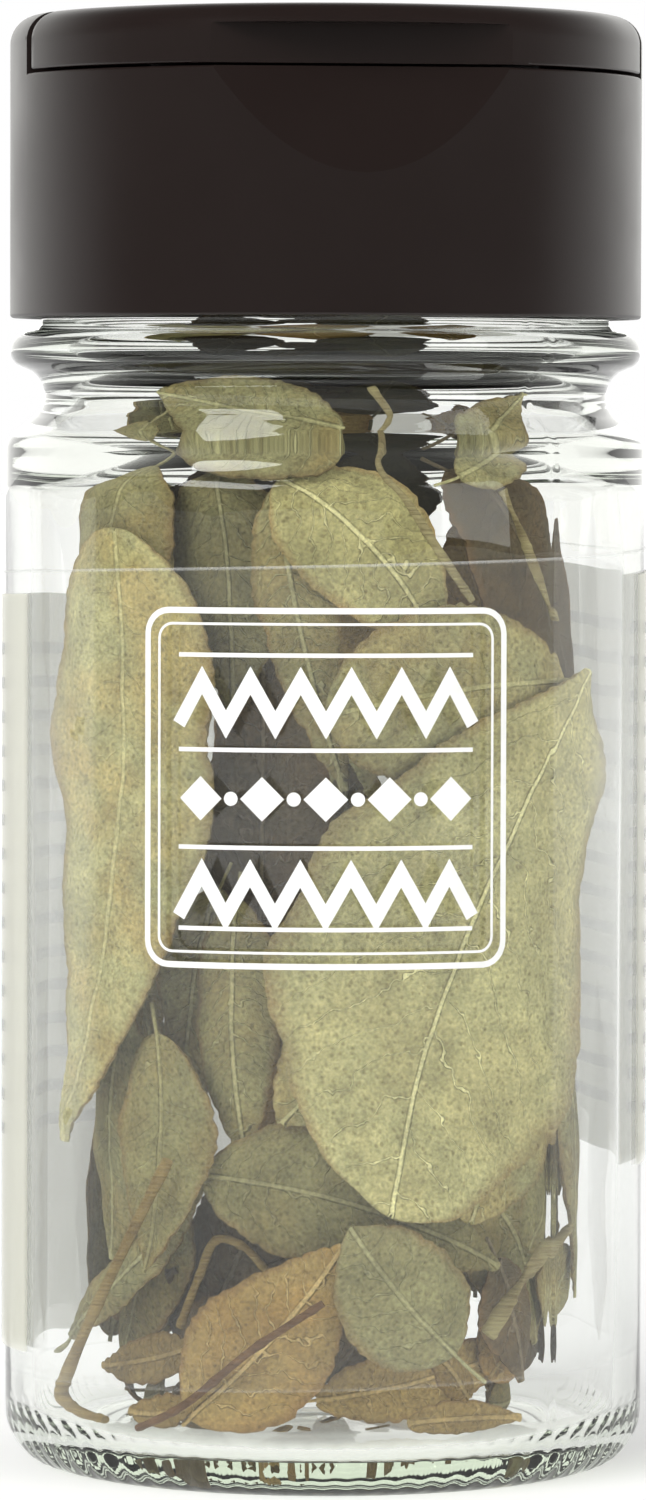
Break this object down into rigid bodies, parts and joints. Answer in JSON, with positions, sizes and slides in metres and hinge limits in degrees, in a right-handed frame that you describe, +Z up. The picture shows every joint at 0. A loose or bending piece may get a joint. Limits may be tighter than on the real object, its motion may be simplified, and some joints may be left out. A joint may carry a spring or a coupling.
{
  "type": "glass spice jar of dried curry leaves",
  "caption": "Round glass spice jar packed with loose dried curry leaves and stalks, with a clear wrap label and a dark flap-top screw cap that opens on a pour mouth or a sifter.",
  "frame": {"origin": "on the jar's axis, at the flat ring that it stands on", "axes": "+Z up the jar towards the cap, -Y towards the front of the label, +X to the right of it"},
  "size_m": [0.0452, 0.0452, 0.1014],
  "materials": {
    "clear_glass": "clear soda-lime glass, very faintly green",
    "label_film": "thin clear film, its back half printed pale grey-green",
    "cap_plastic": "satin moulded polypropylene, very dark brown",
    "leaf_pale": "dried leaf, pale olive, matt",
    "leaf_olive": "dried leaf, olive, matt",
    "leaf_green": "dried leaf, grey-green, matt",
    "leaf_brown": "dried leaf, tan brown, matt",
    "leaf_dark": "dried leaf, dark grey-brown, matt",
    "stalk": "dried leaf stalk, matt"
  },
  "bodies": {
    "jar": {"glass_jar": "clear_glass", "label_film": "label_film", "leaf_front_brown": "leaf_brown", "leaf_front_round": "leaf_green", "leaf_front_wide": "leaf_olive", "leaf_centre_large": "leaf_pale", "leaf_centre_under": "leaf_pale", "leaf_centre_left": "leaf_pale", "leaf_upper_right": "leaf_pale", "leaf_upper_diagonal": "leaf_olive", "leaf_upper_narrow": "leaf_green", "leaf_neck_left": "leaf_pale", "leaf_neck_right": "leaf_pale", "leaf_shoulder_left": "leaf_green", "leaf_left_long": "leaf_pale", "leaf_left_rolled": "leaf_olive", "leaf_left_brownish": "leaf_olive", "leaf_left_grey": "leaf_green", "leaf_left_tucked": "leaf_olive", "leaf_left_curled": "leaf_olive", "leaf_right_dark": "leaf_dark", "leaf_low_slender": "leaf_green", "leaf_low_left": "leaf_brown", "leaf_right_edge": "leaf_green", "leaf_low_right": "leaf_dark", "leaf_low_right_wide": "leaf_olive", "leaf_low_left_wide": "leaf_olive", "leaf_foot_scrap": "leaf_brown", "leaf_foot_right": "leaf_brown", "leaf_low_brown": "leaf_brown", "leaf_low_shade_left": "leaf_dark", "leaf_low_shade_right": "leaf_dark", "leaf_neck_back_left": "leaf_dark", "leaf_neck_back_right": "leaf_olive", "leaf_back_1": "leaf_green", "leaf_back_2": "leaf_brown", "leaf_back_3": "leaf_olive", "leaf_back_4": "leaf_brown", "leaf_back_5": "leaf_pale", "leaf_back_6": "leaf_olive", "leaf_back_7": "leaf_brown", "leaf_back_8": "leaf_brown", "leaf_back_9": "leaf_pale", "leaf_core_1": "leaf_dark", "leaf_core_2": "leaf_dark", "leaf_core_3": "leaf_olive", "leaf_core_4": "leaf_dark", "leaf_core_5": "leaf_dark", "leaf_core_6": "leaf_olive", "leaf_floor_right": "leaf_brown", "leaf_floor_back": "leaf_dark", "stalk_front": "stalk", "stalk_left": "stalk", "stem_neck_curled": "stalk", "stem_right_strip": "stalk", "stem_right_twisted": "stalk", "stem_left_loop": "stalk"},
    "cap": {"cap_base": "cap_plastic"},
    "pour_flap": {"flap_pour": "cap_plastic"},
    "sift_flap": {"flap_sift": "cap_plastic"}
  },
  "joints": [
    {"name": "cap_lift", "type": "slide", "parent": "jar", "child": "cap", "axis": [0, 0, 1], "range_m": [0, 0.025]},
    {"name": "pour_flap_hinge", "type": "hinge", "parent": "cap", "child": "pour_flap", "pos_m": [0.0007, -0.00568, 0.10135], "axis": [-0.9925, -0.1219, 0], "range_deg": [0, 100]},
    {"name": "sift_flap_hinge", "type": "hinge", "parent": "cap", "child": "sift_flap", "pos_m": [-0.0007, 0.00568, 0.10135], "axis": [0.9925, 0.1219, 0], "range_deg": [0, 100]}
  ]
}
